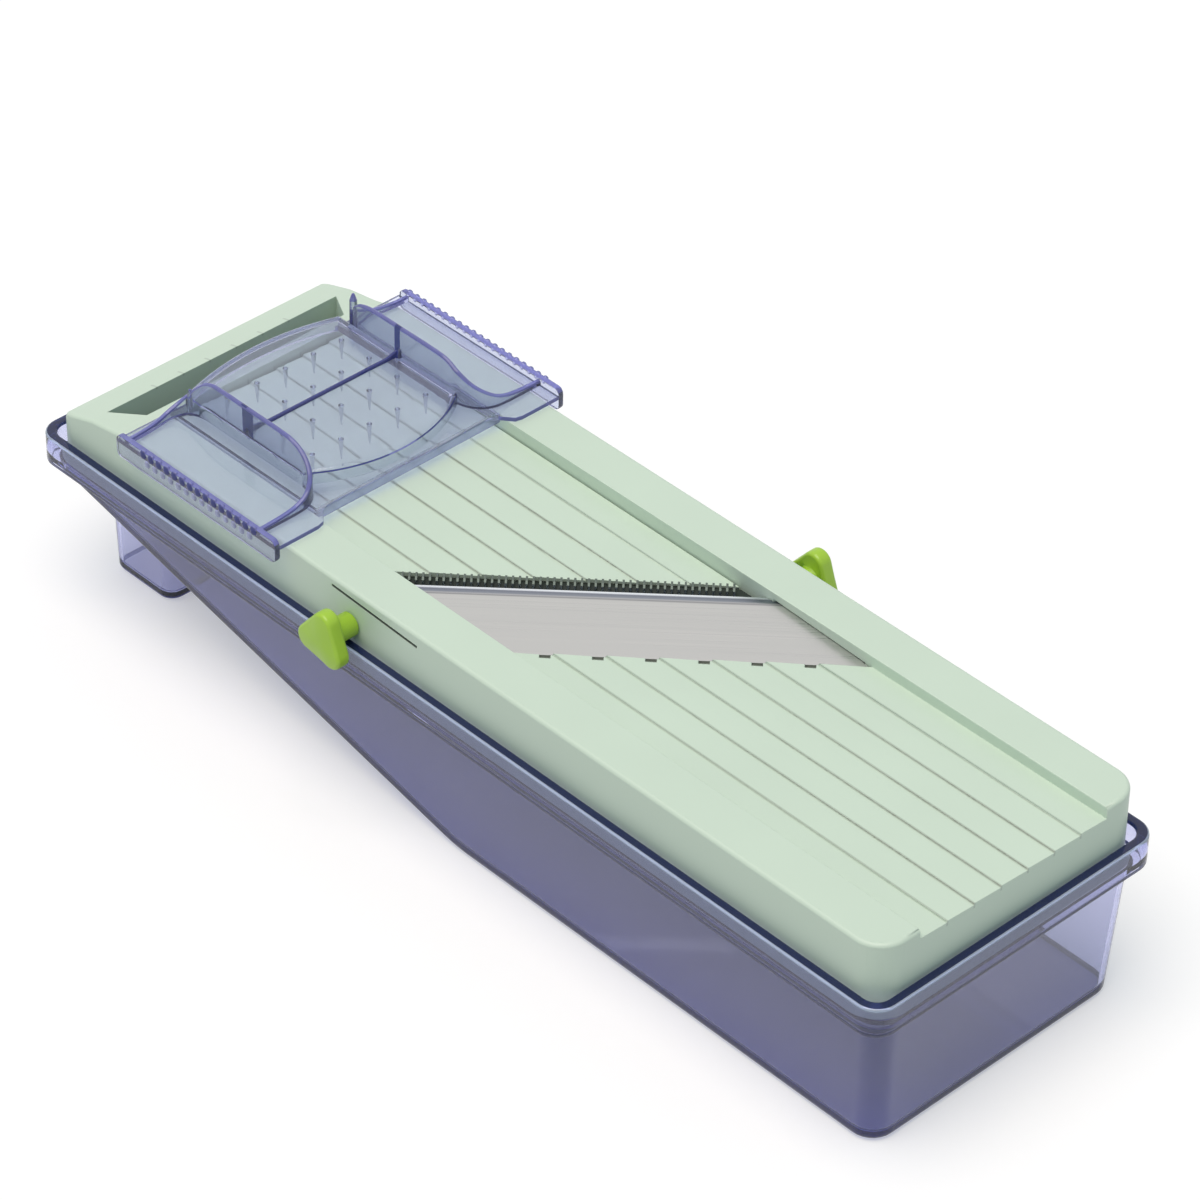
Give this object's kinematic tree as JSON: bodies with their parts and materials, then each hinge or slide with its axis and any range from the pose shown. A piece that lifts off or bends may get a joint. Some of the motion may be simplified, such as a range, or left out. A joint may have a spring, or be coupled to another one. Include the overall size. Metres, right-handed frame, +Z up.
{
  "type": "mandoline slicer",
  "caption": "Mandoline slicer with a diagonal blade and comb in a pale mint body, standing in a clear violet catch tray, with lime side knobs and a sliding clear food holder.",
  "frame": {"origin": "centre of the footprint's bounding box, on the surface that the tray stands on", "axes": "+X from the hand grip towards the outfeed end, +Y towards the far side knob, +Z up"},
  "size_m": [0.4472, 0.1636, 0.1125],
  "materials": {
    "clear_tray": "clear blue-violet moulded plastic",
    "clear_holder": "clear blue-violet moulded plastic",
    "mint_plastic": "pale mint moulded plastic with a soft sheen",
    "lime_plastic": "lime green moulded plastic",
    "dark_plastic": "dark green-grey plastic",
    "blade_steel": "ground stainless steel",
    "plain_steel": "bright stainless steel",
    "brass": "turned brass"
  },
  "bodies": {
    "tray": {"catch_tray": "clear_tray"},
    "slicer": {"slicer_body": "mint_plastic", "hinge_rod": "plain_steel", "main_blade": "blade_steel", "blade_studs": "plain_steel", "blade_washers": "plain_steel", "blade_nuts": "plain_steel", "near_insert": "brass", "far_insert": "brass", "bridge_bar": "plain_steel", "bridge_screws": "plain_steel", "bridge_insert": "brass"},
    "infeed": {"infeed_plate": "mint_plastic"},
    "comb": {"comb_bar": "dark_plastic", "comb_teeth": "blade_steel"},
    "near_clamp": {"near_stud": "plain_steel"},
    "near_turner": {"near_knob": "lime_plastic"},
    "far_clamp": {"far_stud": "plain_steel"},
    "far_turner": {"far_knob": "lime_plastic"},
    "adjuster": {"adjuster_screw": "plain_steel"},
    "adjuster_turner": {"adjuster_knob": "lime_plastic", "adjuster_knob_screw": "plain_steel"},
    "holder": {"food_holder": "clear_holder"}
  },
  "joints": [
    {"name": "slicer_lift", "type": "slide", "parent": "tray", "child": "slicer", "axis": [0, 0, 1], "range_m": [0, 0.15]},
    {"name": "plate_tilt", "type": "hinge", "parent": "slicer", "child": "infeed", "pos_m": [-0.168, 0, 0.082], "axis": [0, 1, 0], "range_deg": [-0.51, 2.41]},
    {"name": "comb_drop", "type": "slide", "parent": "slicer", "child": "comb", "axis": [0, 0, -1], "range_m": [0, 0.018]},
    {"name": "near_clamp_travel", "type": "slide", "parent": "slicer", "child": "near_clamp", "axis": [0, -1, 0], "range_m": [0, 0.00305]},
    {"name": "near_knob_turn", "type": "hinge", "parent": "near_clamp", "child": "near_turner", "pos_m": [-0.0466, -0.075, 0.077], "axis": [0, -1, 0], "range_deg": [0, 1080]},
    {"name": "far_clamp_travel", "type": "slide", "parent": "slicer", "child": "far_clamp", "axis": [0, 1, 0], "range_m": [0, 0.00305]},
    {"name": "far_knob_turn", "type": "hinge", "parent": "far_clamp", "child": "far_turner", "pos_m": [0.0466, 0.075, 0.077], "axis": [0, 1, 0], "range_deg": [0, 1080]},
    {"name": "adjuster_travel", "type": "slide", "parent": "slicer", "child": "adjuster", "axis": [0, 0, -1], "range_m": [-0.0009, 0.0043]},
    {"name": "adjuster_turn", "type": "hinge", "parent": "adjuster", "child": "adjuster_turner", "pos_m": [-0.066, 0, 0.06], "axis": [0, 0, -1], "range_deg": [-320, 1535]},
    {"name": "holder_slide", "type": "slide", "parent": "slicer", "child": "holder", "axis": [1, 0, 0], "range_m": [0, 0.29]}
  ],
  "couplings": [
    {"joint": "near_clamp_travel", "follows": "near_knob_turn", "m_per_rad": 0.00015915},
    {"joint": "far_clamp_travel", "follows": "far_knob_turn", "m_per_rad": 0.00015915},
    {"joint": "adjuster_travel", "follows": "adjuster_turn", "m_per_rad": 0.00015915},
    {"joint": "plate_tilt", "follows": "adjuster_turn", "ratio": 0.0015603}
  ]
}
